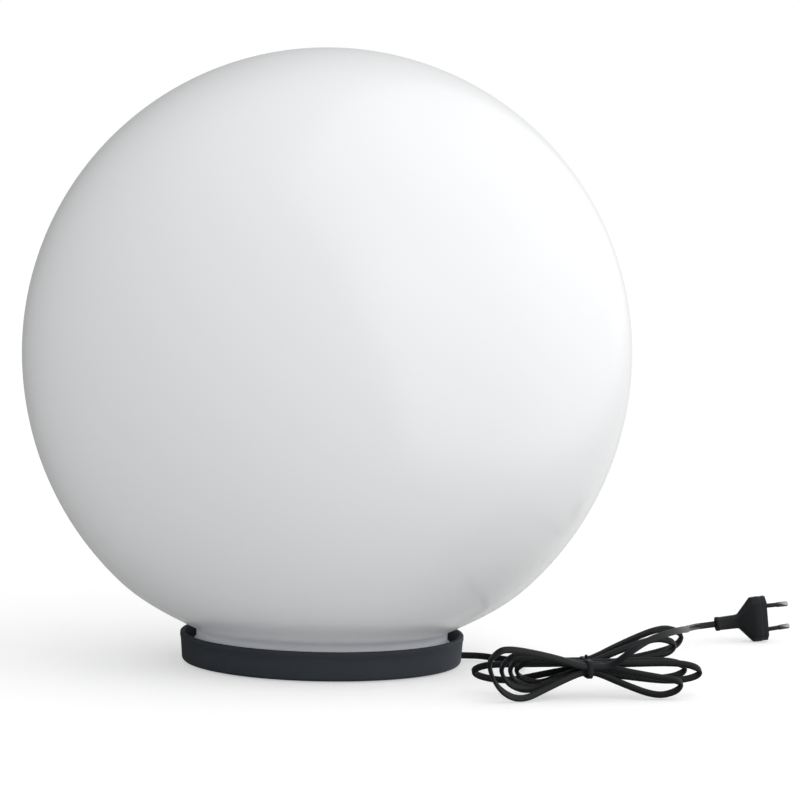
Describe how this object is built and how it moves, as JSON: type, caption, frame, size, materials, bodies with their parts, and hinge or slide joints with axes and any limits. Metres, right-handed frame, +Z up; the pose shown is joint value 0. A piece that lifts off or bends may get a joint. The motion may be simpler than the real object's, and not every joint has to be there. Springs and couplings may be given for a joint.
{
  "type": "garden globe light",
  "caption": "Opal globe garden light on a low dark dish base, with lamp holder, screw-in bulb and a flat lead tied in a hank with a flat two-pin plug",
  "frame": {"origin": "on the floor under the middle of the dish base", "axes": "+Z up along the globe's axis; +X towards the side where the lead leaves the dish; the object is seen looking along +Y"},
  "size_m": [0.5897, 0.45, 0.4553],
  "materials": {
    "globe": "glossy opal white",
    "seal": "matte translucent grey",
    "dish": "fine-grained charcoal",
    "riser": "satin white",
    "steel": "zinc plated",
    "spring_steel": "bright spring steel",
    "holder": "satin black",
    "insulation": "matte cream",
    "brass": "bright brass",
    "bulb_metal": "bright",
    "bulb_black": "glossy black",
    "bulb_body": "satin white",
    "board": "white coated board",
    "bulb_dome": "frosted white",
    "cord": "satin black",
    "core_brown": "satin brown",
    "core_blue": "satin blue",
    "tie": "satin black",
    "plug": "satin black",
    "pins": "nickel plated",
    "foot": "matte black"
  },
  "bodies": {
    "base": {"base_dish": "dish", "centre_contact": "brass", "collar": "dish", "contact_block": "insulation", "cord_clamp": "dish", "cord_hank": "cord", "cord_lead": "cord", "cord_tail": "cord", "core_1": "core_brown", "core_2": "core_blue", "foot_1": "foot", "foot_2": "foot", "foot_3": "foot", "foot_4": "foot", "hank_tie": "tie", "holder_cap": "holder", "holder_riser": "riser", "holder_shell": "holder", "inner_cord": "cord", "locknut": "steel", "nipple": "steel", "pin_sleeve_1": "plug", "pin_sleeve_2": "plug", "plug_body": "plug", "plug_pin_1": "pins", "plug_pin_2": "pins", "spring_clip_1": "spring_steel", "spring_clip_2": "spring_steel", "spring_clip_3": "spring_steel", "terminal_1": "brass", "terminal_2": "brass", "thread_sleeve": "brass"},
    "globe_seal": {"neck_seal": "seal"},
    "globe": {"globe": "globe"},
    "bulb_carrier": {"bulb_contact": "bulb_metal"},
    "bulb": {"bulb_insulator": "bulb_black", "bulb_cap": "bulb_metal", "bulb_housing": "bulb_body", "bulb_board": "board", "bulb_dome": "bulb_dome"}
  },
  "joints": [
    {"name": "globe_lift", "type": "slide", "parent": "base", "child": "globe_seal", "axis": [0, 0, 1], "range_m": [0, 0.25]},
    {"name": "globe_turn", "type": "hinge", "parent": "globe_seal", "child": "globe", "pos_m": [0, 0, 0.0145], "axis": [0, 0, 1], "continuous": true},
    {"name": "bulb_rise", "type": "slide", "parent": "base", "child": "bulb_carrier", "axis": [0, 0, 1], "range_m": [0, 0.0182]},
    {"name": "bulb_turn", "type": "hinge", "parent": "bulb_carrier", "child": "bulb", "pos_m": [0, 0, 0.08], "axis": [0, 0, 1], "range_deg": [0, 1800]}
  ],
  "couplings": [
    {"joint": "bulb_rise", "follows": "bulb_turn", "m_per_rad": 0.0005776}
  ]
}
